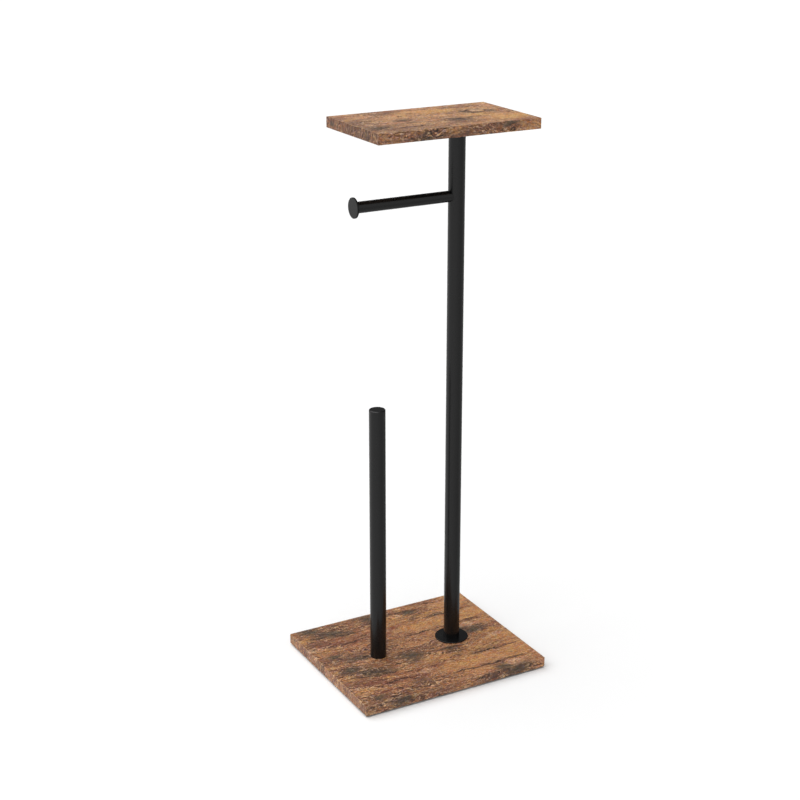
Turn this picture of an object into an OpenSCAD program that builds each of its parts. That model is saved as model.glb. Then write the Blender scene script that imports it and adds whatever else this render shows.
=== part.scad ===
// Freestanding toilet roll holder: a wooden base and a wooden shelf on a tall steel post that
// carries the roll arm, and a short post for spare rolls.
// X runs along the long side of the base, Y from front to back and Z up. The origin is on the
// floor, under the middle of the base. The roll arm points to -X, under the shelf's long end.

/* [Base] */
// Length of the base board along X, edge bands included
base_length = 240; // [200:1:320]
// Depth of the base board along Y, edge bands included
base_depth = 200; // [160:1:280]
// Thickness of the base board
base_thickness = 12; // [11:0.5:25]

/* [Feet] */
// Diameter of a foot pad
pad_diameter = 20; // [12:1:30]
// Thickness of a foot pad
pad_thickness = 2; // [1.5:0.5:6]
// Distance from an edge of the base to the middle of a foot pad
pad_inset = 18; // [18:1:30]

/* [Shelf] */
// Length of the shelf along X, edge bands included
shelf_length = 200; // [160:1:260]
// Depth of the shelf along Y, edge bands included
shelf_depth = 120; // [90:1:180]
// Thickness of the shelf board
shelf_thickness = 12; // [11:0.5:25]
// Height of the top of the shelf above the floor
shelf_height = 650; // [600:1:800]
// Distance from the middle of the base to the middle of the shelf, towards +X
shelf_shift = 20; // [10:1:40]

/* [Edge bands] */
// Thickness of the edge band glued round both boards
band_thickness = 1; // [0.6:0.1:2]
// Radius to which the corners of the bands are trimmed
edge_radius = 0.6; // [0.2:0.1:0.6]

/* [Posts] */
// Outer diameter of the tube that both posts are cut from
post_diameter = 19; // [15:0.5:25]
// Wall of that tube
post_wall = 1.2; // [0.8:0.1:2]
// Distance from the middle of the base to the axis of the tall post, towards +X
main_post_x = 50; // [30:1:65]
// Distance from the middle of the base to the axis of the spare roll post, towards -X
spare_post_offset = 51; // [30:1:80]
// Height of the spare roll post above the base board
spare_post_height = 312; // [200:1:420]
// Thickness of the cap on the spare roll post
cap_thickness = 1.5; // [1:0.1:4]
// Bevel round the top of that cap
cap_bevel = 0.8; // [0.2:0.1:0.9]
// Length of the cap's spigot inside the tube
cap_spigot = 8; // [4:0.5:20]

/* [Post plates] */
// Diameter of the flange at the foot of the tall post
flange_diameter = 40; // [30:1:60]
// Thickness of the flange
flange_thickness = 1.5; // [1:0.1:4]
// Diameter of the plate that carries the shelf
plate_diameter = 60; // [52:1:80]
// Thickness of the plate that carries the shelf
plate_thickness = 2; // [1.5:0.1:4]
// Chamfer round the exposed rims of the flange, the plate and the disc
rim_chamfer = 0.3; // [0.1:0.05:0.4]

/* [Roll arm] */
// Outer diameter of the roll arm's tube
arm_diameter = 12.7; // [10:0.1:14]
// Wall of the roll arm's tube
arm_wall = 1; // [0.8:0.1:1.5]
// Length from the side of the tall post to the outer face of the end disc
arm_reach = 120; // [90:1:160]
// Distance from the underside of the shelf down to the axis of the arm
arm_drop = 77.5; // [65:0.5:110]
// Diameter of the end disc
disc_diameter = 23; // [16:0.5:40]
// Thickness of the end disc
disc_thickness = 2; // [1:0.5:5]
// Length of the end disc's spigot inside the arm
disc_spigot = 10; // [4:0.5:20]
// Length of the plug inside the arm, at the post
arm_plug_length = 20; // [10:1:40]
// Diameter of the plug's neck, which goes through the wall of the post
arm_neck_diameter = 6; // [4:0.5:6.5]
// Distance that the neck reaches past the wall, inside the post
arm_neck_reach = 3; // [1:0.5:5]

/* [Bolts] */
// Thread diameter of the two bolts that hold the posts to the base
bolt_diameter = 6; // [5:0.5:8]
// Diameter of the bolt head
bolt_head_diameter = 10.5; // [9.5:0.5:14]
// Height of the bolt head
bolt_head_height = 3.3; // [2.5:0.1:4.5]
// Width across the flats of the socket in the bolt head
bolt_socket = 4; // [3:0.5:5]
// Depth of that socket
bolt_socket_depth = 2; // [1:0.1:2]
// Length of thread that holds in the plug of the tall post
thread_engagement = 10.5; // [8:0.5:16]
// Thickness of solid metal over the end of the tapped hole in a post plug
plug_end = 3; // [1:0.5:8]
// Diameter of the washer under the bolt head
washer_diameter = 18; // [15:0.5:26]
// Thickness of the washer
washer_thickness = 1.5; // [1:0.1:2.5]
// Distance that the bolt head lies up inside the base
head_inset = 0.7; // [0.3:0.1:1.5]

/* [Wood screws] */
// Thread diameter of the four screws that hold the shelf
screw_diameter = 3.5; // [3:0.1:5]
// Length of the screw under its head
screw_length = 10; // [8:0.5:11]
// Diameter of the screw head
screw_head_diameter = 7; // [6:0.1:8]
// Height of the screw head
screw_head_height = 2.2; // [1.8:0.1:3]
// Distance from the rim of the plate to the middle of a screw
screw_margin = 8; // [6:0.5:11]

/* [Fits] */
// Gap all round a plug or spigot in its tube, and round a thread in its tapped hole
fit_gap = 0.05; // [0.02:0.01:0.15]
// Gap all round a bolt or screw where it passes through a plate, a washer or the base
hole_gap = 0.3; // [0.2:0.05:0.5]
// Gap all round a washer in its recess
recess_gap = 1; // [0.5:0.1:2]
// Gap past the tip of a bolt or screw in its blind hole
tip_gap = 1; // [0.5:0.1:1.5]

/* [Hidden] */
$fn = 64;

wood_colour = [0.63, 0.45, 0.30];
black_colour = [0.17, 0.17, 0.17];
zinc_colour = [0.74, 0.75, 0.77];
rubber_colour = [0.10, 0.10, 0.10];

// Heights of the faces that the pieces stack up from
base_under = pad_thickness;
base_top = base_under + base_thickness;
shelf_under = shelf_height - shelf_thickness;
post_foot = base_top + flange_thickness;
post_head = shelf_under - plate_thickness;
arm_z = shelf_under - arm_drop;
spare_post_top = base_top + spare_post_height - cap_thickness;
spare_post_x = -spare_post_offset;

// Radii of the round pieces
post_radius = post_diameter / 2;
post_bore = post_radius - post_wall;
arm_radius = arm_diameter / 2;
arm_bore = arm_radius - arm_wall;
bolt_radius = bolt_diameter / 2;
screw_radius = screw_diameter / 2;
screw_circle = plate_diameter / 2 - screw_margin;

// Depths along the bolts
recess_depth = head_inset + bolt_head_height + washer_thickness;
bearing_z = base_under + head_inset + bolt_head_height;
bolt_length = washer_thickness + base_thickness - recess_depth + flange_thickness + thread_engagement;
tapped_depth = flange_thickness + thread_engagement + tip_gap;
plug_length = tapped_depth + plug_end;

// Small forms of the bolts and screws
head_rim = 0.5;
bolt_crown_radius = bolt_socket * 0.75;
bolt_tip = 0.8;
screw_crown_radius = screw_radius;
screw_tip = screw_diameter;
cross_width = 0.9;
cross_depth = 1.2;
screw_angles = [45, 135, 225, 315];
dome_steps = 6;
corner_steps = 4;
// How far a cutting shape runs past the face that it opens
past = 1;

// Outline of a rectangle with rounded corners, centred on the origin
function rounded_outline(width, height, radius) = [
    for (corner = [0:3], step = [0:corner_steps])
        let (
            angle = 90 * (corner + step / corner_steps),
            side_x = corner == 0 || corner == 3 ? 1 : -1,
            side_y = corner < 2 ? 1 : -1
        )
        [
            side_x * (width / 2 - radius) + radius * cos(angle),
            side_y * (height / 2 - radius) + radius * sin(angle)
        ]
];

// A finished board with all its edges rounded, its underside at z = 0
module rounded_board(length, depth, thickness) {
    translate([0, 0, thickness / 2]) intersection() {
        linear_extrude(thickness, center = true)
            polygon(rounded_outline(length, depth, edge_radius));
        rotate([90, 0, 0]) linear_extrude(depth, center = true)
            polygon(rounded_outline(length, thickness, edge_radius));
        rotate([90, 0, 90]) linear_extrude(length, center = true)
            polygon(rounded_outline(depth, thickness, edge_radius));
    }
}

// The band on a long edge, side -1 at the front and 1 at the back, runs over the short bands' ends
module long_band(length, depth, thickness, side) {
    intersection() {
        rounded_board(length, depth, thickness);
        translate([-length / 2, side > 0 ? depth / 2 - band_thickness : -depth / 2, 0])
            cube([length, band_thickness, thickness]);
    }
}

// The band on a short edge, side -1 at the left and 1 at the right, lies between the long bands
module short_band(length, depth, thickness, side) {
    inner_depth = depth - 2 * band_thickness;
    intersection() {
        rounded_board(length, depth, thickness);
        translate([side > 0 ? length / 2 - band_thickness : -length / 2, -inner_depth / 2, 0])
            cube([band_thickness, inner_depth, thickness]);
    }
}

// The chipboard panel inside its four bands
module panel(length, depth, thickness) {
    inner_length = length - 2 * band_thickness;
    inner_depth = depth - 2 * band_thickness;
    translate([-inner_length / 2, -inner_depth / 2, 0]) cube([inner_length, inner_depth, thickness]);
}

// A tube that stands on z = 0
module tube(radius, bore, height) {
    difference() {
        cylinder(r = radius, h = height);
        translate([0, 0, -past]) cylinder(r = bore, h = height + 2 * past);
    }
}

// A round plate on z = 0 with its upper rim chamfered
module round_plate(radius, thickness, chamfer) {
    rotate_extrude() polygon([
        [0, 0], [radius, 0], [radius, thickness - chamfer], [radius - chamfer, thickness], [0, thickness]
    ]);
}

// Half section of a round head below z = 0, with a flat crown and a domed side, closed at the axis
function head_section(radius, height, crown) = concat(
    [[0, 0], [radius, 0]],
    [
        for (step = [0:dome_steps])
            let (angle = 90 * step / dome_steps)
            [
                crown + (radius - crown) * cos(angle),
                -head_rim - (height - head_rim) * sin(angle)
            ]
    ],
    [[0, -height]]
);

// Things that stand at both posts' feet
module at_both_posts() {
    for (x = [main_post_x, spare_post_x]) translate([x, 0, 0]) children();
}

// Things that stand at the four screws of the shelf plate
module at_shelf_screws() {
    for (angle = screw_angles)
        translate([main_post_x, 0, post_head]) rotate(angle) translate([screw_circle, 0, 0]) children();
}

// Puts a shape that is drawn along +Z from the axis of the tall post along the arm
module along_arm() {
    translate([main_post_x, 0, arm_z]) rotate([0, -90, 0]) children();
}

// Chipboard base with a stepped hole under each post for the bolt and its sunk head and washer
module base_board() {
    color(wood_colour) difference() {
        translate([0, 0, base_under]) panel(base_length, base_depth, base_thickness);
        at_both_posts() {
            translate([0, 0, base_under - past])
                cylinder(r = bolt_radius + hole_gap, h = base_thickness + 2 * past);
            translate([0, 0, base_under - past])
                cylinder(r = washer_diameter / 2 + recess_gap, h = recess_depth + past);
        }
    }
}

module base_front_band() {
    color(wood_colour) translate([0, 0, base_under])
        long_band(base_length, base_depth, base_thickness, -1);
}

module base_back_band() {
    color(wood_colour) translate([0, 0, base_under])
        long_band(base_length, base_depth, base_thickness, 1);
}

module base_left_band() {
    color(wood_colour) translate([0, 0, base_under])
        short_band(base_length, base_depth, base_thickness, -1);
}

module base_right_band() {
    color(wood_colour) translate([0, 0, base_under])
        short_band(base_length, base_depth, base_thickness, 1);
}

// Four self-adhesive pads that lift the base off the floor
module foot_pads() {
    color(rubber_colour)
        for (side_x = [-1, 1], side_y = [-1, 1])
            translate([
                side_x * (base_length / 2 - pad_inset),
                side_y * (base_depth / 2 - pad_inset),
                0
            ])
                cylinder(d = pad_diameter, h = pad_thickness);
}

// Chipboard shelf with four blind pilot holes in its underside
module shelf_board() {
    color(wood_colour) difference() {
        translate([shelf_shift, 0, shelf_under]) panel(shelf_length, shelf_depth, shelf_thickness);
        at_shelf_screws() cylinder(r = screw_radius + fit_gap, h = screw_length + tip_gap);
    }
}

module shelf_front_band() {
    color(wood_colour) translate([shelf_shift, 0, shelf_under])
        long_band(shelf_length, shelf_depth, shelf_thickness, -1);
}

module shelf_back_band() {
    color(wood_colour) translate([shelf_shift, 0, shelf_under])
        long_band(shelf_length, shelf_depth, shelf_thickness, 1);
}

module shelf_left_band() {
    color(wood_colour) translate([shelf_shift, 0, shelf_under])
        short_band(shelf_length, shelf_depth, shelf_thickness, -1);
}

module shelf_right_band() {
    color(wood_colour) translate([shelf_shift, 0, shelf_under])
        short_band(shelf_length, shelf_depth, shelf_thickness, 1);
}

// Tall post, with a hole in the wall for the neck of the arm's plug
module main_post() {
    color(black_colour) difference() {
        translate([main_post_x, 0, post_foot]) tube(post_radius, post_bore, post_head - post_foot);
        along_arm() cylinder(r = arm_neck_diameter / 2 + fit_gap, h = post_radius + past);
    }
}

// Flange welded to the foot of the tall post
module main_post_flange() {
    color(black_colour) translate([main_post_x, 0, base_top]) difference() {
        round_plate(flange_diameter / 2, flange_thickness, rim_chamfer);
        translate([0, 0, -past]) cylinder(r = bolt_radius + hole_gap, h = flange_thickness + 2 * past);
    }
}

// Tapped plug inside the foot of a post, for the bolt that comes up through the base
module post_plug() {
    color(zinc_colour) difference() {
        cylinder(r = post_bore - fit_gap, h = plug_length);
        translate([0, 0, -past]) cylinder(r = bolt_radius + fit_gap, h = tapped_depth + past);
    }
}

module main_post_plug() {
    translate([main_post_x, 0, post_foot]) post_plug();
}

module spare_roll_post_plug() {
    translate([spare_post_x, 0, base_top]) post_plug();
}

// Plate welded to the head of the tall post, screwed up into the shelf. Its rim faces down.
module shelf_plate() {
    color(black_colour) difference() {
        translate([main_post_x, 0, shelf_under]) mirror([0, 0, 1])
            round_plate(plate_diameter / 2, plate_thickness, rim_chamfer);
        at_shelf_screws() translate([0, 0, -past])
            cylinder(r = screw_radius + hole_gap, h = plate_thickness + 2 * past);
    }
}

// Four pan head wood screws, driven up through the plate
module shelf_screws() {
    shank = screw_length - screw_tip;
    cross_length = screw_head_diameter * 0.55;
    color(zinc_colour) at_shelf_screws() difference() {
        union() {
            rotate_extrude() polygon(head_section(
                screw_head_diameter / 2, screw_head_height, screw_crown_radius
            ));
            cylinder(r = screw_radius, h = shank);
            translate([0, 0, shank]) cylinder(r1 = screw_radius, r2 = screw_radius / 5, h = screw_tip);
        }
        for (angle = [0, 90])
            rotate(angle) translate([-cross_length / 2, -cross_width / 2, -screw_head_height - past])
                cube([cross_length, cross_width, cross_depth + past]);
    }
}

// Tube of the roll arm, with its end shaped to the side of the tall post and welded round
module roll_arm() {
    color(black_colour) along_arm() difference() {
        tube(arm_radius, arm_bore, post_radius + arm_reach - disc_thickness);
        rotate([0, 90, 0]) cylinder(r = post_radius + fit_gap, h = 4 * arm_radius, center = true);
    }
}

// Turned plug in the arm, whose neck goes through the wall of the post and carries the load
module roll_arm_plug() {
    neck_start = post_bore - arm_neck_reach;
    body_start = post_radius + fit_gap;
    color(zinc_colour) along_arm() {
        translate([0, 0, neck_start]) cylinder(d = arm_neck_diameter, h = body_start - neck_start + past);
        translate([0, 0, body_start]) cylinder(r = arm_bore - fit_gap, h = arm_plug_length);
    }
}

// Disc that keeps the roll on the arm, held by its spigot in the tube
module roll_arm_end_disc() {
    inner_face = post_radius + arm_reach - disc_thickness;
    radius = disc_diameter / 2;
    color(black_colour) along_arm() translate([0, 0, inner_face]) {
        rotate_extrude() polygon([
            [0, 0], [radius - rim_chamfer, 0], [radius, rim_chamfer],
            [radius, disc_thickness - rim_chamfer], [radius - rim_chamfer, disc_thickness],
            [0, disc_thickness]
        ]);
        translate([0, 0, -disc_spigot]) cylinder(r = arm_bore - fit_gap, h = disc_spigot);
    }
}

// Short post that spare rolls stack on
module spare_roll_post() {
    color(black_colour) translate([spare_post_x, 0, base_top])
        tube(post_radius, post_bore, spare_post_top - base_top);
}

// Flat bevelled cap pushed into the top of the short post
module spare_roll_post_cap() {
    color(black_colour) translate([spare_post_x, 0, spare_post_top]) {
        round_plate(post_radius, cap_thickness, cap_bevel);
        translate([0, 0, -cap_spigot]) cylinder(r = post_bore - fit_gap, h = cap_spigot);
    }
}

// Two button head bolts, driven up from under the base into the post plugs
module base_bolts() {
    color(zinc_colour) at_both_posts() translate([0, 0, bearing_z]) difference() {
        union() {
            rotate_extrude() polygon(head_section(
                bolt_head_diameter / 2, bolt_head_height, bolt_crown_radius
            ));
            cylinder(r = bolt_radius, h = bolt_length - bolt_tip);
            translate([0, 0, bolt_length - bolt_tip])
                cylinder(r1 = bolt_radius, r2 = bolt_radius - bolt_tip, h = bolt_tip);
        }
        translate([0, 0, -bolt_head_height - past])
            cylinder(d = bolt_socket / cos(30), h = bolt_socket_depth + past, $fn = 6);
    }
}

// Two wide washers that spread the bolts' pull over the chipboard
module base_washers() {
    color(zinc_colour) at_both_posts() translate([0, 0, bearing_z])
        tube(washer_diameter / 2, bolt_radius + hole_gap, washer_thickness);
}

base_board();
base_front_band();
base_back_band();
base_left_band();
base_right_band();
foot_pads();
shelf_board();
shelf_front_band();
shelf_back_band();
shelf_left_band();
shelf_right_band();
main_post();
main_post_flange();
main_post_plug();
shelf_plate();
shelf_screws();
roll_arm();
roll_arm_plug();
roll_arm_end_disc();
spare_roll_post();
spare_roll_post_cap();
spare_roll_post_plug();
base_bolts();
base_washers();
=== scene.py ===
# Freestanding toilet roll holder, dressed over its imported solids.
# The sections follow the object from the floor up: the room it stands in, the base with its bands
# and feet, the shelf, the steel posts and arm, and the fasteners that hold them together.
import math

import bpy
import numpy as np
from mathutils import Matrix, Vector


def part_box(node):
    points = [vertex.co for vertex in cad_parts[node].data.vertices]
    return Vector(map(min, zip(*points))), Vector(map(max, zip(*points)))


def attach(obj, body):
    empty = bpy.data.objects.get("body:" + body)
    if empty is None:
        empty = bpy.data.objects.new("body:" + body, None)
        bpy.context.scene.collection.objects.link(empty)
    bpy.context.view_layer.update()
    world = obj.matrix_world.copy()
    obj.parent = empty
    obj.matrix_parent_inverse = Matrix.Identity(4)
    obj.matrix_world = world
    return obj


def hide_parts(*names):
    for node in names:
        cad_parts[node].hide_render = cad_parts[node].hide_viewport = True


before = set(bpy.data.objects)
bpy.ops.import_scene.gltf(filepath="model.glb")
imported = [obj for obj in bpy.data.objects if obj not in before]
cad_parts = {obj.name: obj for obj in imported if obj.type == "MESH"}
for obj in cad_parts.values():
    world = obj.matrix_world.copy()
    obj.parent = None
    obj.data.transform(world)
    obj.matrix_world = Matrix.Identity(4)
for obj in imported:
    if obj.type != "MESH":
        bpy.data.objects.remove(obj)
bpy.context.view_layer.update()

# The room: a white floor, a camera where the photo was taken from, one broad soft light high at the
# back left, and a sky that is pale at the front left. The steel doesn't mirror the floor but the
# sky's lower half, pale on the left and dim on the right, as in the photo.
camera_place = (-0.87001, -1.53476, 0.95821)
camera_pitch = math.radians(19.6473)
camera_turn = math.radians(-28.9344)
camera_lens = 73.81
camera_film = 36.0
camera_reach = 100.0
floor_half = 15.0
floor_white = 0.87
sky_pale_side = (-0.45, -0.89, 0.0)
sky_turns_pale = (0.02, 0.28)
sky_dark = 0.13
sky_pale = 0.70
mirror_turns_pale = (1.15, -0.9)
mirror_left = 0.84
mirror_right = 0.46
horizon = (0.02, -0.12)
key_strength = 2.95
key_tilt = math.radians(25)
key_turn = math.radians(-35)
key_spread = math.radians(80)
sharp_from = math.radians(40)

camera_data = bpy.data.cameras.new("photo_camera")
camera_data.sensor_width = camera_film
camera_data.lens = camera_lens
camera_data.clip_end = camera_reach
camera = bpy.data.objects.new("photo_camera", camera_data)
camera.location = camera_place
camera.rotation_euler = (math.pi / 2 - camera_pitch, 0.0, camera_turn)
bpy.context.scene.collection.objects.link(camera)
bpy.context.scene.camera = camera
bpy.context.scene.view_settings.view_transform = "Standard"


def step(tree, kind, wires, **settings):
    """Adds one shader node. Each wire is a value, or the output that feeds the socket."""
    node = tree.nodes.new("ShaderNode" + kind)
    for name, value in settings.items():
        setattr(node, name, value)
    for socket, value in wires.items():
        if isinstance(value, bpy.types.NodeSocket):
            tree.links.new(value, node.inputs[socket])
        else:
            node.inputs[socket].default_value = value
    return node


def maths(tree, operation, *values):
    """One sum on numbers."""
    return step(tree, "Math", dict(enumerate(values)), operation=operation).outputs[0]


def dot(tree, place, line):
    """The dot product of two vectors."""
    return step(tree, "VectorMath", {0: place, 1: line}, operation="DOT_PRODUCT").outputs["Value"]


def fade(tree, value, start, end, low=0.0, high=1.0):
    """Low up to start, high past end, and a smooth S between them."""
    wires = {"Value": value, "From Min": start, "From Max": end, "To Min": low, "To Max": high}
    return step(tree, "MapRange", wires, interpolation_type="SMOOTHSTEP").outputs[0]


sky = bpy.data.worlds.new("studio_sky")
sky.use_nodes = True
tree = sky.node_tree
sky_way = step(tree, "TexCoord", {}).outputs["Generated"]
sky_parts = step(tree, "SeparateXYZ", {0: sky_way}).outputs
sky_above = fade(tree, dot(tree, sky_way, sky_pale_side), *sky_turns_pale, sky_dark, sky_pale)
sky_below = fade(tree, sky_parts["X"], *mirror_turns_pale, mirror_right, mirror_left)
sky_light = fade(tree, sky_parts["Z"], *horizon, sky_above, sky_below)
seen_by_camera = step(tree, "LightPath", {}).outputs["Is Camera Ray"]
background = tree.nodes["Background"]
background.inputs["Color"].default_value = (1.0, 1.0, 1.0, 1.0)
tree.links.new(maths(tree, "MAXIMUM", sky_light, seen_by_camera), background.inputs["Strength"])
bpy.context.scene.world = sky

key_data = bpy.data.lights.new("key_light", "SUN")
key_data.energy = key_strength
key_data.angle = key_spread
key = bpy.data.objects.new("key_light", key_data)
key.rotation_euler = (0.0, -key_tilt, key_turn)
bpy.context.scene.collection.objects.link(key)


def surface(name, points, faces):
    """Makes a mesh object from an array of points and a list of faces, smooth but for sharp edges."""
    mesh = bpy.data.meshes.new(name)
    mesh.from_pydata(points.tolist(), [], faces)
    mesh.polygons.foreach_set("use_smooth", [True] * len(mesh.polygons))
    mesh.set_sharp_from_angle(angle=sharp_from)
    made = bpy.data.objects.new(name, mesh)
    bpy.context.scene.collection.objects.link(made)
    return made


def new_finish(name):
    """A new material, with its node tree and its shader."""
    finish = bpy.data.materials.new(name)
    finish.use_nodes = True
    return finish, finish.node_tree, finish.node_tree.nodes["Principled BSDF"]


floor_corners = np.array([[-1, -1, 0], [1, -1, 0], [1, 1, 0], [-1, 1, 0]]) * floor_half
floor = surface("floor", floor_corners, [(0, 1, 2, 3)])
finish, tree, shader = new_finish("floor_white")
shader.inputs["Base Color"].default_value = (floor_white, floor_white, floor_white, 1.0)
shader.inputs["Roughness"].default_value = 1.0
shader.inputs["Specular IOR Level"].default_value = 0.0
floor.data.materials.append(finish)
floor.visible_glossy = False

# The base: a 240 by 200 mm chipboard panel, 12 mm thick, with a wood print pressed on it and glued
# edge bands. The print is tan with red-brown streaks, slate smudges and cracks along X. It repeats
# from front to back, and runs on down the bands as if it were folded over the edge.
mm = 0.001
print_repeat = 108.0
print_start = -113.0
seam_width = 0.25
seam_dark = 0.55
wear_width = 0.6
wear_share = 0.45
board_shine = 0.40
band_shine = 0.45
relief_strength = 0.4
relief_depth = 0.25
chip_scale = (0.5, 0.8, 1.5)
foil_scale = (0.05, 0.4, 1.0)
folds = {
    "front": (0.0, -1.0, 0.0), "back": (0.0, 1.0, 0.0),
    "left": (-1.0, 0.0, 0.0), "right": (1.0, 0.0, 0.0),
}
# Each cloudy noise of the print: its scale along X, along Y and on the sheet's seed, the detail of
# its clouds and their roughness.
clouds = {
    "drift": ((0.018, 0.03, 1.0), 2.0, 0.55), "curl": ((0.07, 0.11, 3.0), 4.0, 0.6),
    "ragged": ((0.16, 0.24, 1.0), 4.0, 0.7), "tone": ((0.014, 0.055, 1.0), 4.0, 0.62),
    "hue": ((0.045, 0.080, 3.0), 4.0, 0.65), "ridge": ((0.14, 0.26, 2.0), 4.0, 0.65),
    "patch": ((0.035, 0.075, 8.0), 3.0, 0.6), "fibre": ((0.03, 0.45, 1.0), 3.0, 0.6),
    "speck": ((0.42, 0.56, 5.0), 4.0, 0.8), "tinge": ((0.24, 0.34, 7.0), 4.0, 0.75),
    "flush": ((0.10, 0.16, 9.0), 4.0, 0.65), "wander": ((0.02, 0.10, 4.0), 3.0, 0.6),
}
# Which places each kind of mark reads, and the soft share of its size.
mark_edges = {
    "rough": ("smudge", 0.9), "smooth": ("smudge", 0.7), "ochre": ("smudge", 0.9),
    "stain": ("smudge", 0.9), "red": ("line", 0.9), "slate": ("smudge", 0.95),
    "rose": ("smudge", 0.9), "pale": ("smudge", 0.9),
}
# How much of its ink each zone and each patch lays on the print.
zone_inks = {"rough": 0.8, "smooth": 0.92}
patch_inks = {"ochre": 0.8, "stain": 0.7, "red": 0.75, "slate": 0.95, "rose": 0.9}
# What the print's colour is multiplied by, and what the flush and the tinge add to that.
plain_cast = (1.0, 1.0, 0.97)
flush_cast = (0.10, 0.24, 0.18)
tinge_cast = (0.0, 0.20, 0.70)


def ink(red, green, blue):
    """A colour given as the 0 to 255 values of a picture, in the linear light that a shader takes."""
    share = np.array([red, green, blue]) / 255.0
    return (*np.where(share > 0.04045, ((share + 0.055) / 1.055) ** 2.4, share / 12.92), 1.0)


def vectors(tree, operation, *values):
    """One sum on vectors."""
    return step(tree, "VectorMath", dict(enumerate(values)), operation=operation).outputs[0]


def scaled(tree, vector, share):
    """A vector or a colour times a number."""
    return step(tree, "VectorMath", {0: vector, "Scale": share}, operation="SCALE").outputs[0]


def over(tree, share, under, colour):
    """Lays a colour over another by its share."""
    wires = {0: share, 6: under, 7: colour}
    return step(tree, "Mix", wires, data_type="RGBA", clamp_factor=True).outputs[2]


def noise(tree, place, scale, detail=3.0, roughness=0.55, output="Fac"):
    """Cloudy noise from 0 to 1, a number or a colour, with clouds 1 / scale long on each axis."""
    wires = {
        "Vector": vectors(tree, "MULTIPLY", place, scale), "Scale": 1.0, "Detail": detail,
        "Roughness": roughness,
    }
    return step(tree, "TexNoise", wires).outputs[output]


def wobble(tree, place, scale, detail, roughness, reach):
    """A shift that changes from place to place, up to reach = (x, y) millimetres either way."""
    shift = noise(tree, place, scale, detail, roughness, "Color")
    span = (2 * reach[0], 2 * reach[1], 0.0)
    return vectors(tree, "MULTIPLY_ADD", shift, span, (-reach[0], -reach[1], 0.0))


def marks(tree, place, listed, soft):
    """Mask of a list of ellipses (x, y, half length, half width, turn in degrees), whole inside and
    faded out over the soft share of their size. The distance from an ellipse's middle is measured
    along its length and across it, each as a share of the half size. Dot products do that, because a
    Mapping node for each ellipse fills the renderer's shader memory."""
    mask = 0.0
    for x, y, half_length, half_width, turn in listed:
        shares = []
        for degrees, half in ((turn, half_length), (turn + 90, half_width)):
            way = math.radians(degrees)
            line = (math.cos(way) / half, math.sin(way) / half, 0.0)
            shares.append(maths(tree, "SUBTRACT", dot(tree, place, line), x * line[0] + y * line[1]))
        across = maths(tree, "POWER", shares[1], 2.0)
        distance = maths(tree, "SQRT", maths(tree, "MULTIPLY_ADD", shares[0], shares[0], across))
        mask = maths(tree, "MAXIMUM", mask, fade(tree, distance, 1.0 + soft / 2, 1.0 - soft))
    return mask


def print_places(tree, place, seed, repeat):
    """The places that the parts of the print read, in millimetres on the sheet. The grain's is
    straight and the bent one drifts and curls. The lines' curls and the smudges' is ragged as well,
    and both start again where the print repeats."""
    sheet = place
    if repeat:
        parts = step(tree, "SeparateXYZ", {0: place}).outputs
        row = maths(tree, "WRAP", parts["Y"], print_start + print_repeat, print_start)
        sheet = step(tree, "CombineXYZ", {0: parts["X"], 1: row}).outputs[0]
    grain = vectors(tree, "ADD", place, (0.0, 0.0, seed))
    drift = wobble(tree, grain, *clouds["drift"], reach=(10.0, 13.0))
    curl = wobble(tree, grain, *clouds["curl"], reach=(8.0, 6.5))
    ragged = wobble(tree, grain, *clouds["ragged"], reach=(8.0, 5.0))
    line = vectors(tree, "ADD", sheet, curl)
    smudge = vectors(tree, "ADD", line, ragged)
    bent = vectors(tree, "ADD", vectors(tree, "ADD", grain, drift), curl)
    return {"grain": grain, "bent": bent, "line": line, "smudge": smudge}


def print_ground(tree, places, palette, placed):
    """The print without its fine grain: a ground from tan to brown, the rough and smooth zones,
    clouds of purple and ochre, and the placed patches on top. Returns the colour, the masks of the
    zones and patches, and how lively the fine grain is, least in the smooth zones."""
    masks = {}
    for kind, (read, soft) in mark_edges.items():
        masks[kind] = marks(tree, places[read], placed[kind], soft)
    lively = maths(tree, "SUBTRACT", 1.0, maths(tree, "MULTIPLY", masks["smooth"], 0.8))

    tone = noise(tree, places["bent"], *clouds["tone"])
    hue = noise(tree, places["bent"], *clouds["hue"])
    colour = over(tree, fade(tree, tone, 0.40, 0.62), palette["tan"], palette["brown"])
    for kind, share in zone_inks.items():
        colour = over(tree, maths(tree, "MULTIPLY", masks[kind], share), colour, palette[kind])
    purple = maths(tree, "MULTIPLY", fade(tree, hue, 0.52, 0.68, 0.0, 0.7), lively)
    colour = over(tree, purple, colour, palette["purple"])
    colour = over(tree, fade(tree, hue, 0.46, 0.33, 0.0, 0.55), colour, palette["ochre"])
    for kind, share in patch_inks.items():
        colour = over(tree, maths(tree, "MULTIPLY", masks[kind], share), colour, palette[kind])
    return colour, masks, lively


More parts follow.
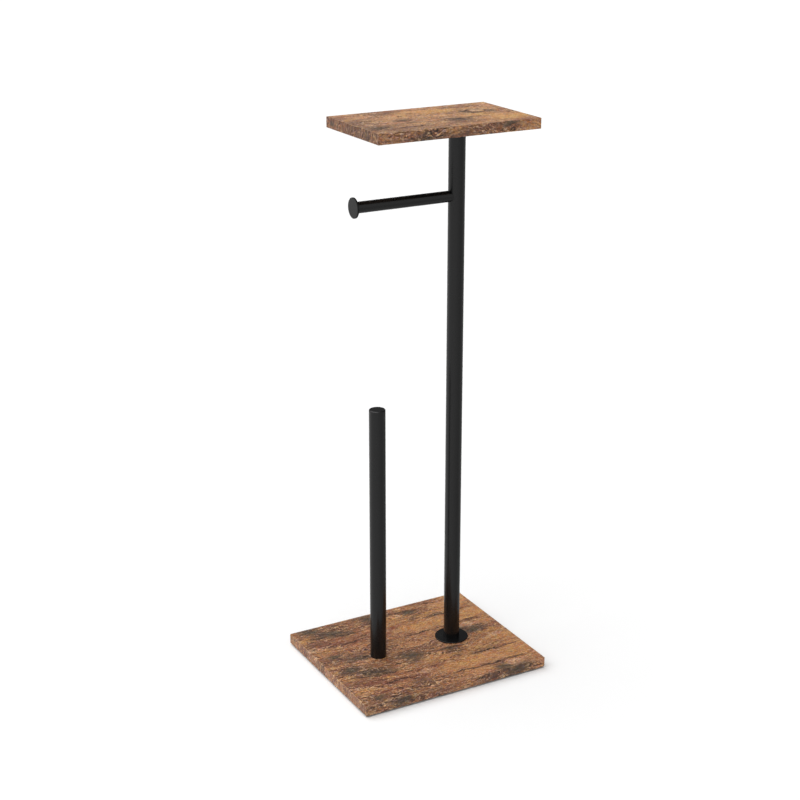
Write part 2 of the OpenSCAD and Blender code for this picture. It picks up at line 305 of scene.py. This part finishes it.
def print_curls(tree, places, palette, masks, lively, colour, curl_size):
    """Pale and dark flecks on the two sides of small curling ridges, where the ridges' noise falls
    or rises towards a place a little further on: partly the print's own flecks, partly a painted
    highlight and painted shade of the ridges' relief, lit from one side. They come in patches, and
    the pale ones are faint on slate. Returns the colour, the ridges, and how lively the grain is
    with the patches."""
    scale, detail, roughness = clouds["ridge"]
    scale = (scale[0] / curl_size, scale[1] / curl_size, scale[2])
    ridge = noise(tree, places["bent"], scale, detail, roughness)
    further = vectors(tree, "ADD", places["bent"], (0.4 * curl_size, 0.9 * curl_size, 0.0))
    slope = maths(tree, "SUBTRACT", ridge, noise(tree, further, scale, detail, roughness))
    patch = noise(tree, places["bent"], *clouds["patch"])
    lively = maths(tree, "MULTIPLY", lively, fade(tree, patch, 0.40, 0.58, 0.40, 1.3))
    strength = maths(tree, "MULTIPLY", fade(tree, masks["rough"], 0.0, 1.0, 0.78, 0.92), lively)
    strength = maths(tree, "MAXIMUM", strength, masks["pale"])
    # Painted highlight on each ridge's lit side, and painted shade on its far side below.
    light = maths(tree, "MULTIPLY", fade(tree, slope, 0.01, 0.11), strength)
    light = maths(tree, "MULTIPLY", light, fade(tree, masks["slate"], 0.2, 0.9, 0.8, 0.25))
    colour = over(tree, light, colour, palette["pale"])
    dark = maths(tree, "MULTIPLY", fade(tree, slope, -0.01, -0.11), strength)
    colour = over(tree, maths(tree, "MULTIPLY", dark, 0.95), colour, palette["fleck_and_shade"])
    return colour, ridge, lively


def print_grain(tree, places, lively, colour, fibre, speck):
    """Lightens and darkens the print by its long fibres and fine specks, and turns its colour in
    small spots: the flush from a dark red to a pale olive, and the tinge from orange to grey."""
    specks = fade(tree, speck, 0.32, 0.68, -0.62, 0.62)
    specks = maths(tree, "MULTIPLY", specks, fade(tree, lively, 0.25, 1.0, 0.7, 1.0))
    fibres = fade(tree, fibre, 0.32, 0.68, 0.84, 1.16)
    colour = scaled(tree, colour, maths(tree, "MULTIPLY", fibres, maths(tree, "ADD", specks, 1.0)))
    tinge = fade(tree, noise(tree, places["grain"], *clouds["tinge"]), 0.3, 0.7, -1.0, 1.0)
    flush = fade(tree, noise(tree, places["grain"], *clouds["flush"]), 0.32, 0.68, -1.0, 1.0)
    cast = vectors(tree, "MULTIPLY_ADD", flush, flush_cast, plain_cast)
    cast = vectors(tree, "MULTIPLY_ADD", tinge, tinge_cast, cast)
    return vectors(tree, "MULTIPLY", colour, cast)


def print_cracks(tree, places, placed, speck):
    """Mask of the cracks: the placed ones, and fine splits all over the sheet where a wandering
    noise passes its middle. The specks break both up."""
    wander = noise(tree, places["bent"], *clouds["wander"])
    split = fade(tree, maths(tree, "ABSOLUTE", maths(tree, "SUBTRACT", wander, 0.5)), 0.016, 0.003)
    split = maths(tree, "MULTIPLY", split, fade(tree, speck, 0.40, 0.55))
    crack = marks(tree, places["line"], placed["crack"], 0.6)
    crack = maths(tree, "MULTIPLY", crack, fade(tree, speck, 0.62, 0.46, 0.4, 1.0))
    return maths(tree, "MAXIMUM", crack, maths(tree, "MULTIPLY", split, 0.6))


def wood_print(name, seed, repeat, palette, placed, curl_size=1.0):
    """A shader group that turns a place on the sheet, in millimetres, into the print's colour, its
    relief and its roughness. placed holds the marks of this sheet by their kind. A knot is a dark
    ring between its outline and its paler heart."""
    tree = bpy.data.node_groups.new(name, "ShaderNodeTree")
    tree.interface.new_socket("Place", in_out="INPUT", socket_type="NodeSocketVector")
    for output, kind in (("Colour", "Color"), ("Relief", "Float"), ("Roughness", "Float")):
        tree.interface.new_socket(output, in_out="OUTPUT", socket_type="NodeSocket" + kind)
    place = tree.nodes.new("NodeGroupInput").outputs["Place"]
    end = tree.nodes.new("NodeGroupOutput")

    places = print_places(tree, place, seed, repeat)
    colour, masks, lively = print_ground(tree, places, palette, placed)
    colour, ridge, lively = print_curls(tree, places, palette, masks, lively, colour, curl_size)
    fibre = noise(tree, places["bent"], *clouds["fibre"])
    speck = noise(tree, places["grain"], *clouds["speck"])
    colour = print_grain(tree, places, lively, colour, fibre, speck)
    crack = print_cracks(tree, places, placed, speck)
    if "knot" in placed:
        heart = marks(tree, places["line"], placed["knot_heart"], 0.25)
        ring = maths(tree, "SUBTRACT", marks(tree, places["line"], placed["knot"], 0.2), heart)
        colour = over(tree, maths(tree, "MULTIPLY", heart, 0.2), colour, palette["pale"])
        crack = maths(tree, "MAXIMUM", crack, maths(tree, "MULTIPLY", ring, 0.85))
    relief = maths(tree, "SUBTRACT", maths(tree, "MULTIPLY_ADD", ridge, 2.0, fibre), crack)
    tree.links.new(over(tree, crack, colour, palette["crack"]), end.inputs["Colour"])
    tree.links.new(relief, end.inputs["Relief"])
    tree.links.new(fade(tree, ridge, 0.35, 0.65, 0.56, 0.44), end.inputs["Roughness"])
    return tree


def lay_finish(tree, shader, colour, roughness, height, strength, depth):
    """Gives a shader its colour, its roughness, and its bumps, which are depth millimetres high."""
    wires = {"Height": height, "Strength": strength, "Distance": depth * mm}
    tree.links.new(colour, shader.inputs["Base Color"])
    tree.links.new(roughness, shader.inputs["Roughness"])
    tree.links.new(step(tree, "Bump", wires).outputs[0], shader.inputs["Normal"])


def rubbed_edge(tree, place, drop, colour):
    """Rubs a band's print paler in patches along its upper edge. drop is the depth below the top."""
    worn = ink(196, 160, 124)
    patches = fade(tree, noise(tree, place, (0.12, 0.12, 0.6), 4.0, 0.7), 0.45, 0.60)
    rubbed = maths(tree, "MULTIPLY", patches, fade(tree, drop, wear_width, 0.05))
    return over(tree, maths(tree, "MULTIPLY", rubbed, wear_share), colour, worn)


def bare_board(tree, place, drop, above, colour, relief, rough):
    """Shows raw chips below a board's printed face, as in the recesses for the bolts, and a plain
    brown foil on its underside. drop is the depth below the printed face, and above the height over
    the underside. Each chip is a cell with its own tone and a darker rim."""
    dark_chip = ink(150, 112, 72)
    pale_chip = ink(204, 170, 124)
    chip_rim = ink(110, 78, 48)
    dark_foil = ink(88, 66, 50)
    pale_foil = ink(104, 80, 62)
    wires = {"Vector": vectors(tree, "MULTIPLY", place, chip_scale), "Scale": 1.0}
    chips = step(tree, "TexVoronoi", wires).outputs
    tone = step(tree, "SeparateXYZ", {0: chips["Color"]}).outputs["X"]
    raw = over(tree, tone, dark_chip, pale_chip)
    raw = over(tree, fade(tree, chips["Distance"], 0.35, 0.7, 0.0, 0.5), raw, chip_rim)
    inside = fade(tree, drop, 0.02, 0.06)
    foil = over(tree, noise(tree, place, foil_scale), dark_foil, pale_foil)
    colour = over(tree, inside, colour, raw)
    colour = over(tree, fade(tree, above, 0.06, 0.02), colour, foil)
    relief = over(tree, inside, relief, chips["Distance"])
    rough = over(tree, inside, rough, (0.9, 0.9, 0.9, 1.0))
    return colour, relief, rough


def wood_finish(name, sheet, low, high, shine, fold=None, side_light_and_shade=1.0):
    """The print on a board with the corners low and high, or on one of its bands. A band has a fold,
    the way out over its edge: the lower a place on the band, the further out the sheet is read
    there. A glue line shows where board and band meet. The band's print is drawn brighter or
    darker by a factor for its side: painted light and painted shade."""
    finish, tree, shader = new_finish(name)
    metres = step(tree, "TexCoord", {}).outputs["Object"]
    place = vectors(tree, "MULTIPLY", metres, (1 / mm, 1 / mm, 1 / mm))
    parts = step(tree, "SeparateXYZ", {0: place}).outputs
    drop = maths(tree, "SUBTRACT", high[2], parts["Z"])
    shift = scaled(tree, fold or (0.0, 0.0, 0.0), drop)
    flat = vectors(tree, "MULTIPLY", vectors(tree, "ADD", place, shift), (1.0, 1.0, 0.0))
    printed = step(tree, "Group", {}, node_tree=sheet)
    tree.links.new(flat, printed.inputs["Place"])
    relief, rough = printed.outputs["Relief"], printed.outputs["Roughness"]

    from_seam = []
    for axis, start, end in (("X", low[0], high[0]), ("Y", low[1], high[1])):
        off = maths(tree, "ABSOLUTE", maths(tree, "SUBTRACT", parts[axis], (start + end) / 2))
        from_seam.append(maths(tree, "ABSOLUTE", maths(tree, "SUBTRACT", off, (end - start) / 2)))
    seam = fade(tree, maths(tree, "MINIMUM", *from_seam), 0.0, seam_width, seam_dark, 1.0)
    # A factor for the band's side draws its print brighter or darker: painted light and shade.
    colour = scaled(tree, printed.outputs["Colour"], maths(tree, "MULTIPLY", seam, side_light_and_shade))
    if fold:
        colour = rubbed_edge(tree, place, drop, colour)
    else:
        above = maths(tree, "SUBTRACT", parts["Z"], low[2])
        colour, relief, rough = bare_board(tree, place, drop, above, colour, relief, rough)
    lay_finish(tree, shader, colour, rough, relief, relief_strength, relief_depth)
    shader.inputs["Specular IOR Level"].default_value = shine
    return finish


def extent(node_name):
    """The lowest and the highest corner of a CAD node, in millimetres."""
    low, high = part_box(node_name)
    return np.array(low) / mm, np.array(high) / mm


def dress(node_name, finish):
    """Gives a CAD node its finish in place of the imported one."""
    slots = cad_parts[node_name].data.materials
    slots.clear()
    slots.append(finish)


def dress_board(board, sheet, band_sheet, band_light_and_shade):
    """Finishes a board and its four bands. A factor for each side draws its band's print brighter
    or darker: painted light and painted shade on that side.
    """
    low, high = extent(board + "_board")
    dress(board + "_board", wood_finish(board + "_top_print", sheet, low, high, board_shine))
    for side, fold in folds.items():
        name = f"{board}_{side}_print"
        finish = wood_finish(name, band_sheet, low, high, band_shine, fold, band_light_and_shade[side])
        dress(f"{board}_{side}_band", finish)


# How bright each band's print is drawn: painted light and painted shade for each side of the board.
base_band_light_and_shade = {"front": 1.05, "back": 1.02, "left": 1.10, "right": 1.02}
base_palette = {
    "tan": ink(172, 121, 83), "brown": ink(130, 84, 61), "smooth": ink(175, 126, 88),
    "purple": ink(112, 76, 68), "ochre": ink(178, 127, 78), "rough": ink(102, 68, 51),
    "red": ink(110, 55, 43), "slate": ink(73, 62, 50), "stain": ink(84, 60, 51),
    "pale": ink(200, 159, 126), "fleck_and_shade": ink(50, 31, 24), "crack": ink(42, 27, 21),
    "rose": ink(188, 143, 114),
}
base_marks = {
    "rough": [
        (-95, -95, 55, 20, 0), (-85, -25, 50, 24, -6), (-105, -55, 30, 20, 0), (-15, -16, 36, 15, 0),
        (-40, -90, 30, 14, 8),
    ],
    "smooth": [(54, -66, 78, 15, 0), (106, -58, 30, 24, 0), (100, -30, 38, 15, 0), (75, -91, 56, 6, 0)],
    "red": [
        (-90, -57, 36, 6, -5), (-58, -64, 30, 6, 0), (-6, -56, 28, 5, 12), (-28, -66, 24, 5, 3),
        (-105, -2, 22, 7, 0), (-60, -50, 50, 4, -8), (-75, -80, 24, 4, 0), (-88, 4, 24, 3, 0),
        (100, -49, 16, 2.0, -3), (92, -80, 12, 2.0, 0),
    ],
    "slate": [
        (-97, -18, 15, 9, -10), (-76, -33, 24, 9, -14), (-17, -20, 17, 14, -15), (33, -27, 12, 7, 0),
        (68, -95, 17, 11, -10), (80, -106, 24, 10, 0), (-72, -104, 16, 6, 0), (-98, -88, 10, 6, 0),
        (-82, 3, 8, 5, 0),
    ],
    "stain": [
        (38, -31, 14, 9, -20), (31, -45, 8, 6, 0), (62, -49, 16, 6, 0), (90, -98, 11, 7, -15),
        (-34, -74, 13, 15, 20), (-82, -101, 10, 5, 0), (-70, -34, 24, 6, -16), (-20, -34, 14, 8, 0),
        (-95, -10, 14, 8, 0), (40, -107, 20, 5, 0),
    ],
    "rose": [(84, -89, 13, 7, 0), (-112, -60, 12, 5, 0), (-20, -60, 12, 4, 10), (98, -20, 14, 5, 0)],
    # Pale marks: where the ridges' flecks, partly painted highlight and shade, are strongest.
    "pale": [
        (84, -90, 10, 5, 0), (-6, -7, 22, 6, 5), (-38, -86, 13, 6, 15), (27, -16, 20, 4, 0),
        (-24, -26, 12, 5, 0), (-90, -8, 14, 4, 0), (-60, -10, 16, 6, 0), (4, -30, 24, 9, 0),
        (-84, -22, 24, 9, -8), (-50, -28, 16, 7, 0), (18, -46, 22, 5, 0), (82, -40, 22, 6, 0),
    ],
    "ochre": [
        (-112, -35, 12, 7, 0), (-104, -68, 14, 7, 0), (100, -68, 22, 9, 0), (30, -64, 34, 8, 0),
        (8, -34, 16, 7, 0), (104, -25, 16, 8, 0), (-62, -50, 14, 4, 0), (58, -42, 44, 8, 0),
        (96, -8, 22, 8, 0), (10, -46, 22, 8, 0), (55, 0, 40, 8, 0),
    ],
    "crack": [
        (45, -81, 60, 1.5, 0), (92, -79, 18, 1.5, -8), (-62, -43, 26, 1.5, -6), (15, -23, 28, 1.3, 0),
        (46, -25, 18, 1.3, 0), (-60, -64, 24, 1.4, 3), (-100, -36, 16, 1.3, -8), (78, -51, 40, 1.3, 0),
    ],
}
base_print = wood_print("base_print", 0.0, True, base_palette, base_marks)
dress_board("base", base_print, base_print, base_band_light_and_shade)

# The feet: four pads moulded in black foam rubber and stuck under the corners of the base, 20 mm wide
# and 2 mm thick, with rounded lower rims and a slight hollow in the face that meets the floor.
pad_radius = 10.0
pad_inset = 18.0
pad_hollow = 0.25
pad_hollow_radius = 6.5
pad_ring_radius = 7.5
fine_turn = np.radians(np.arange(0, 360, 3))


def softened(corners, steps=5, beyond=1.3):
    """Profile through corners (radius, height, rounding) in millimetres. A rounded corner becomes the
    arc (1 - t)^2 a + 2 t (1 - t) corner + t^2 b, where a and b lie the rounding away along its two
    sides. A point before and after the arc, at beyond times that, keeps the flat sides flat."""
    made = []
    for index, (radius, height, rounding) in enumerate(corners):
        here = np.array([radius, height], float)
        if rounding == 0:
            made.append(here)
            continue
        before = np.array(corners[index - 1][:2]) - here
        after = np.array(corners[(index + 1) % len(corners)][:2]) - here
        before = before / np.linalg.norm(before) * rounding
        after = after / np.linalg.norm(after) * rounding
        t = np.linspace(0, 1, steps)[:, None]
        made.append(here + beyond * before)
        made.extend(here + (1 - t) ** 2 * before + t ** 2 * after)
        made.append(here + beyond * after)
    return made


def turned(name, rows, turn, centres, along="Z", ring=False):
    """Surface of revolution in millimetres: point(row, a) = centre + height along the axis + radius x
    (cos a, sin a) across it. Each row is (radius, height), a number or one value for each angle a. Rows
    of radius 0 close to a pole, and a ring joins its last row to its first."""
    radius = np.array([np.broadcast_to(row[0], turn.shape) for row in rows])
    height = np.array([np.broadcast_to(row[1], turn.shape) for row in rows])
    points = np.stack([radius * np.cos(turn), radius * np.sin(turn), height], axis=2)
    if along == "X":
        points = np.roll(points, 1, axis=2)
    index = np.arange(radius.size).reshape(radius.shape)
    poles = radius.max(axis=1) == 0
    index[poles] = index[poles][:, :1]
    lower = index if ring else index[:-1]
    upper = np.roll(index, -1, axis=0) if ring else index[1:]
    quads = np.stack([lower, np.roll(lower, -1, 1), np.roll(upper, -1, 1), upper], axis=2).reshape(-1, 4)
    used, quads = np.unique(quads, return_inverse=True)
    quads = quads.reshape(-1, 4)
    points = points.reshape(-1, 3)[used]
    every_point = np.concatenate([points + np.array(centre) for centre in centres]) * mm
    every_quad = np.concatenate([quads + number * len(points) for number in range(len(centres))])
    return surface(name, every_point, [tuple(dict.fromkeys(quad)) for quad in every_quad.tolist()])


def fit(piece, node_name, finish):
    """Puts a finished piece in the place of its CAD node."""
    piece.data.materials.append(finish)
    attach(piece, "root")
    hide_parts(node_name)


base_corner = extent("base_front_band")[0]
pad_x = -base_corner[0] - pad_inset
pad_y = -base_corner[1] - pad_inset
pad_centres = [(x, y, 0.0) for x in (-pad_x, pad_x) for y in (-pad_y, pad_y)]
pad_top = extent("foot_pads")[1][2]
pad_profile = softened([
    (0.0, pad_hollow, 0), (pad_hollow_radius, pad_hollow, 0.6), (pad_ring_radius, 0.0, 0.4),
    (pad_radius, 0.0, 0.6), (pad_radius, pad_top, 0.15), (0.0, pad_top, 0),
])
rubber, tree, shader = new_finish("rubber_pad")
place = step(tree, "TexCoord", {}).outputs["Object"]
pores = noise(tree, place, (900.0, 900.0, 900.0))
cloud = noise(tree, place, (120.0, 120.0, 120.0))
colour = over(tree, cloud, ink(30, 30, 31), ink(44, 43, 43))
rough = fade(tree, pores, 0.3, 0.7, 0.74, 0.9)
lay_finish(tree, shader, colour, rough, pores, strength=0.35, depth=0.08)
feet = turned("rubber_feet", pad_profile, fine_turn, pad_centres)
fit(feet, "foot_pads", rubber)

# The shelf: the same chipboard with its print and bands, 200 by 120 mm. It is cut from another part
# of the sheet, which has a knot. Its top takes paler inks than its bands, which have the base's
# inks: partly a paler print, and partly painted light on the shelf's lit top.
shelf_seed = 60.0
shelf_band_curl = 1.1
# Each band of the shelf is drawn darker by a factor for its side: painted shade.
shelf_band_light_and_shade = {"front": 0.95, "back": 0.90, "left": 0.87, "right": 0.90}
# The top's paler inks: partly a paler print, partly painted light on the shelf's lit top.
shelf_palette = dict(base_palette)
shelf_palette.update(tan=ink(192, 144, 106), brown=ink(154, 111, 86), smooth=ink(196, 146, 103))
shelf_palette.update(ochre=ink(196, 150, 96), rough=ink(134, 100, 82), purple=ink(126, 92, 84))
shelf_palette.update(slate=ink(78, 66, 58), stain=ink(100, 72, 66), red=ink(134, 80, 64))
shelf_palette.update(pale=ink(216, 182, 150), rose=ink(198, 144, 112))
shelf_marks = {
    "rough": [(-70, -15, 44, 50, 0), (-40, -50, 60, 20, 0), (2, -70, 88, 14, 0)],
    "smooth": [(95, -30, 35, 22, 0), (20, 38, 40, 20, 0), (112, -68, 16, 10, 0)],
    "red": [(-5, 53, 18, 5, 0), (112, 8, 8, 6, 0), (-66, 48, 20, 6, 0), (96, -56, 8, 5, 0)],
    "rose": [(-48, 36, 12, 10, 0), (30, 50, 30, 6, 0), (110, 40, 10, 14, 0), (-28, -12, 40, 5, 0)],
    "slate": [
        (76, 4, 15, 5, 0), (66, 14, 5, 8, 0), (97, 8, 7, 6, -30), (83, 15, 3, 2.5, 0),
        (38, -23, 17, 9, -8), (-19, -12, 12, 13, 30), (-66, -32, 15, 8, 0), (-86, 45, 6, 6, 0),
        (-24, -69, 11, 4, 0), (82, -63, 12, 4, 0),
    ],
    "stain": [
        (36, -34, 18, 13, -5), (-20, 0, 12, 10, 0), (-24, 45, 24, 14, 0), (-70, 10, 12, 8, 0),
        (-86, -35, 7, 9, 0),
    ],
    # Pale marks: where the ridges' flecks, partly painted highlight and shade, are strongest.
    "pale": [(83, 21, 7, 5, 0), (28, -12, 15, 5, 0), (-10, 20, 17, 9, 0), (-55, -5, 25, 14, 0)],
    "ochre": [(70, -8, 24, 9, 0), (45, 30, 26, 12, 0), (100, -35, 24, 14, 0)],
    "crack": [(60, -18, 26, 1.2, 0), (-30, -40, 30, 1.2, 0), (20, 48, 40, 1.2, 0)],
    "knot": [(81, 14, 13, 11, 0)],
    "knot_heart": [(82, 15, 9.5, 8, 0)],
}
shelf_print = wood_print("shelf_print", shelf_seed, False, shelf_palette, shelf_marks)
shelf_band_print = wood_print(
    "shelf_band_print", shelf_seed, False, base_palette, shelf_marks, shelf_band_curl
)
dress_board("shelf", shelf_print, shelf_band_print, shelf_band_light_and_shade)

# The steelwork: both posts and the roll arm, welded from thin tube, and the plate that carries the
# shelf. All of it has one satin black powder coat, baked on after welding.
coat_shine = 0.40
coat_peel = 0.12
coat_black = (0.0022, 0.0022, 0.0024, 1.0)
coat_grey = (0.0046, 0.0046, 0.0048, 1.0)


def powder_coat(name, shine, peel_strength):
    """Black coat with the faint orange peel of baked powder."""
    finish, tree, shader = new_finish(name)
    place = step(tree, "TexCoord", {}).outputs["Object"]
    peel = noise(tree, place, (1100.0, 1100.0, 1100.0), 2.0)
    cloud = noise(tree, place, (60.0, 60.0, 60.0))
    colour = over(tree, cloud, coat_black, coat_grey)
    rough = fade(tree, cloud, 0.3, 0.7, 0.20, 0.28)
    lay_finish(tree, shader, colour, rough, peel, strength=peel_strength, depth=0.06)
    shader.inputs["Specular IOR Level"].default_value = shine
    return finish


black_coat = powder_coat("black_powder_coat", coat_shine, coat_peel)
for steel_node in ("main_post", "spare_roll_post", "roll_arm", "shelf_plate"):
    dress(steel_node, black_coat)

# The flange at the foot of the tall post: a 40 mm disc cut from 1.5 mm sheet and welded on, its top
# rim broken so that it doesn't cut a hand, with a hole for the bolt from below.
flange_radius = 20.0
bolt_hole_radius = 3.3


def axis_of(node_name):
    """The place on the floor, in millimetres, that an upright CAD tube stands over."""
    low, high = extent(node_name)
    return ((low[0] + high[0]) / 2, 0.0, 0.0)


main_post_axis = axis_of("main_post")
flange_low, flange_high = extent("main_post_flange")
flange_profile = softened([
    (bolt_hole_radius, flange_low[2], 0), (flange_radius, flange_low[2], 0.15),
    (flange_radius, flange_high[2], 0.4), (bolt_hole_radius, flange_high[2], 0.2),
])
flange = turned("foot_flange", flange_profile, fine_turn, [main_post_axis], ring=True)
fit(flange, "main_post_flange", black_coat)

# The cap on the short post: a turned steel disc with a bevelled rim, 19 mm wide, whose spigot is
# pressed into the tube and welded before coating.
cap_radius = 9.5
cap_spigot_radius = 8.25
cap_bevel = 0.8
spare_post_axis = axis_of("spare_roll_post")
spare_post_top = extent("spare_roll_post")[1][2]
cap_low, cap_high = extent("spare_roll_post_cap")
cap_profile = softened([
    (0.0, cap_low[2], 0), (cap_spigot_radius, cap_low[2], 0.5), (cap_spigot_radius, spare_post_top, 0),
    (cap_radius, spare_post_top, 0.08), (cap_radius, cap_high[2] - cap_bevel, 0.25),
    (cap_radius - cap_bevel, cap_high[2], 0.3), (0.0, cap_high[2], 0),
])
cap = turned("spare_post_cap", cap_profile, fine_turn, [spare_post_axis])
fit(cap, "spare_roll_post_cap", black_coat)

# The disc that stops a roll from sliding off the arm: 23 mm wide and 2 mm thick with broken rims,
# turned in one piece with the spigot that is pressed into the tube. Its faces are duller.
disc_radius = 11.5
disc_spigot_radius = 5.3
disc_shine = 0.24
disc_peel = 0.4
disc_low, disc_high = extent("roll_arm_end_disc")
arm_end = extent("roll_arm")[0][0]
arm_axis = (0.0, 0.0, disc_high[2] - disc_radius)
disc_profile = softened([
    (0.0, disc_low[0], 0), (disc_radius, disc_low[0], 0.4), (disc_radius, arm_end, 0.4),
    (disc_spigot_radius, arm_end, 0), (disc_spigot_radius, disc_high[0], 0.4), (0.0, disc_high[0], 0),
])
disc = turned("arm_disc", disc_profile, fine_turn, [arm_axis], along="X")
dull_coat = powder_coat("duller_disc_coat", disc_shine, disc_peel)
fit(disc, "roll_arm_end_disc", dull_coat)

# The plugs: turned steel, zinc-plated as all the fasteners are. Two are tapped for the bolts and
# pressed into the feet of the posts, and one joins the roll arm to the tall post.
zinc_dark = (0.46, 0.47, 0.50, 1.0)
zinc_bright = (0.66, 0.67, 0.69, 1.0)
zinc, tree, shader = new_finish("zinc_plate")
place = step(tree, "TexCoord", {}).outputs["Object"]
bloom = noise(tree, place, (260.0, 260.0, 260.0), 4.0, 0.6)
scuff = noise(tree, place, (900.0, 900.0, 2400.0), 3.0, 0.6)
colour = over(tree, bloom, zinc_dark, zinc_bright)
rough = fade(tree, scuff, 0.3, 0.7, 0.24, 0.42)
lay_finish(tree, shader, colour, rough, scuff, strength=0.2, depth=0.03)
shader.inputs["Metallic"].default_value = 1.0
for plug_node in ("main_post_plug", "spare_roll_post_plug", "roll_arm_plug"):
    dress(plug_node, zinc)

# The washers: two wide steel rings with rounded rims, zinc-plated, sunk in the underside of the base
# between the bolts' heads and the floor of their recesses.
washer_radius = 9.0
washer_low, washer_high = extent("base_washers")
washer_profile = softened([
    (bolt_hole_radius, washer_low[2], 0.15), (washer_radius, washer_low[2], 0.25),
    (washer_radius, washer_high[2], 0.25), (bolt_hole_radius, washer_high[2], 0.15),
])
post_axes = [main_post_axis, spare_post_axis]
washers = turned("foot_washers", washer_profile, fine_turn, post_axes, ring=True)
fit(washers, "base_washers", zinc)

# The bolts: two zinc-plated M6 button-head bolts with 4 mm hexagon sockets. They go up through the
# washers and the base into the plugs, and pull the posts down onto the base.
thread_turn = np.radians(np.arange(0, 360, 5))
thread_start = 0.05
bolt_head_radius = 5.25
bolt_crown_radius = 2.8
bolt_crown_slope = 0.2
bolt_neck_radius = 2.6
bolt_thread = {"pitch": 1.0, "root": 2.4, "crest": 3.0, "flank": 0.5, "taper": 0.8, "tip": 0.75}
socket_half = 2.0
socket_depth = 2.0
socket_fillet = 0.1
socket_chamfer = 0.15
socket_taper = 0.97
socket_flare = 1.05


def thread(turn, low, high, pitch, root, crest, flank, taper, tip, rows=8, crest_width=1.12):
    """Rows of a screw thread, so many to a pitch. The ridge passes height h at angle a when h / pitch
    - a / 2 pi is whole, and falls from the crest's radius to the root's at the flank share of a pitch
    on both sides of it. A crest width over 1 cuts the ridge flat at the crest. Over the last taper
    millimetres the radius shrinks to the tip share."""
    heights = np.arange(low, high, pitch / rows)
    phase = (heights[:, None] / pitch - turn / (2 * np.pi)) % 1.0
    ridge = np.clip(crest_width * (1.0 - np.minimum(phase, 1.0 - phase) / flank), 0.0, 1.0)
    shrink = np.interp(heights, [high - taper, high], [1.0, tip])[:, None]
    radius = (root + (crest - root) * ridge) * shrink
    return list(zip(radius, heights)) + [(crest * tip, high), (0.0, high)]


bolt_low, bolt_high = extent("base_bolts")
crown = bolt_low[2]
bearing = washer_low[2]
socket_floor = crown + socket_depth
from_flat = (thread_turn + np.pi / 6) % (np.pi / 3) - np.pi / 6
hexagon = socket_half / np.cos(from_flat)
bolt_rows = [
    (0.0, socket_floor), (hexagon * socket_taper, socket_floor),
    (hexagon, socket_floor - socket_fillet), (hexagon, crown + socket_chamfer),
    (hexagon * socket_flare, crown),
]
bolt_rows += softened([
    (bolt_crown_radius, crown, 0), (bolt_head_radius, crown + bolt_crown_slope, 1.7),
    (bolt_head_radius, bearing, 0.12), (bolt_neck_radius, bearing, 0),
])
bolt_rows += thread(thread_turn, bearing + thread_start, bolt_high[2], **bolt_thread)
bolts = turned("foot_bolts", bolt_rows, thread_turn, post_axes)
fit(bolts, "base_bolts", zinc)

# The shelf screws: four 3.5 by 10 mm pan-head wood screws with cross recesses, driven up through the
# plate on the head of the tall post into the shelf board.
screw_circle = 22.0
screw_head_radius = 3.5
screw_crown_radius = 1.95
screw_neck_radius = 1.3
screw_thread = {"pitch": 1.3, "root": 1.15, "crest": 1.75, "flank": 0.28, "taper": 3.5, "tip": 0.2}
cross_reach = 1.7
cross_half = cross_reach * math.tan(math.radians(15))
cross_depth = 1.2
cross_point = 0.05
cross_taper = 0.5
cross_shrink = 0.9
screw_low, screw_high = extent("shelf_screws")
crown = screw_low[2]
bearing = extent("shelf_plate")[0][2]
cross_floor = crown + cross_depth
from_arm = np.abs((thread_turn + np.pi / 4) % (np.pi / 2) - np.pi / 4)
arm_side = cross_half / np.maximum(np.sin(from_arm), 1e-6)
wide_cross = np.minimum(cross_reach / np.cos(from_arm), arm_side)
small_cross = np.minimum(cross_taper * cross_reach / np.cos(from_arm), arm_side) * cross_shrink
screw_rows = [(0.0, cross_floor + cross_point), (small_cross, cross_floor), (wide_cross, crown)]
screw_rows += softened([
    (screw_crown_radius, crown, 0), (screw_head_radius, crown, 1.4),
    (screw_head_radius, bearing, 0.1), (screw_neck_radius, bearing, 0),
])
screw_rows += thread(thread_turn, bearing + thread_start, screw_high[2], **screw_thread)
screw_centres = [
    (main_post_axis[0] + screw_circle * math.cos(angle), screw_circle * math.sin(angle), 0.0)
    for angle in np.radians([45, 135, 225, 315])
]
screws = turned("shelf_plate_screws", screw_rows, thread_turn, screw_centres)
fit(screws, "shelf_screws", zinc)
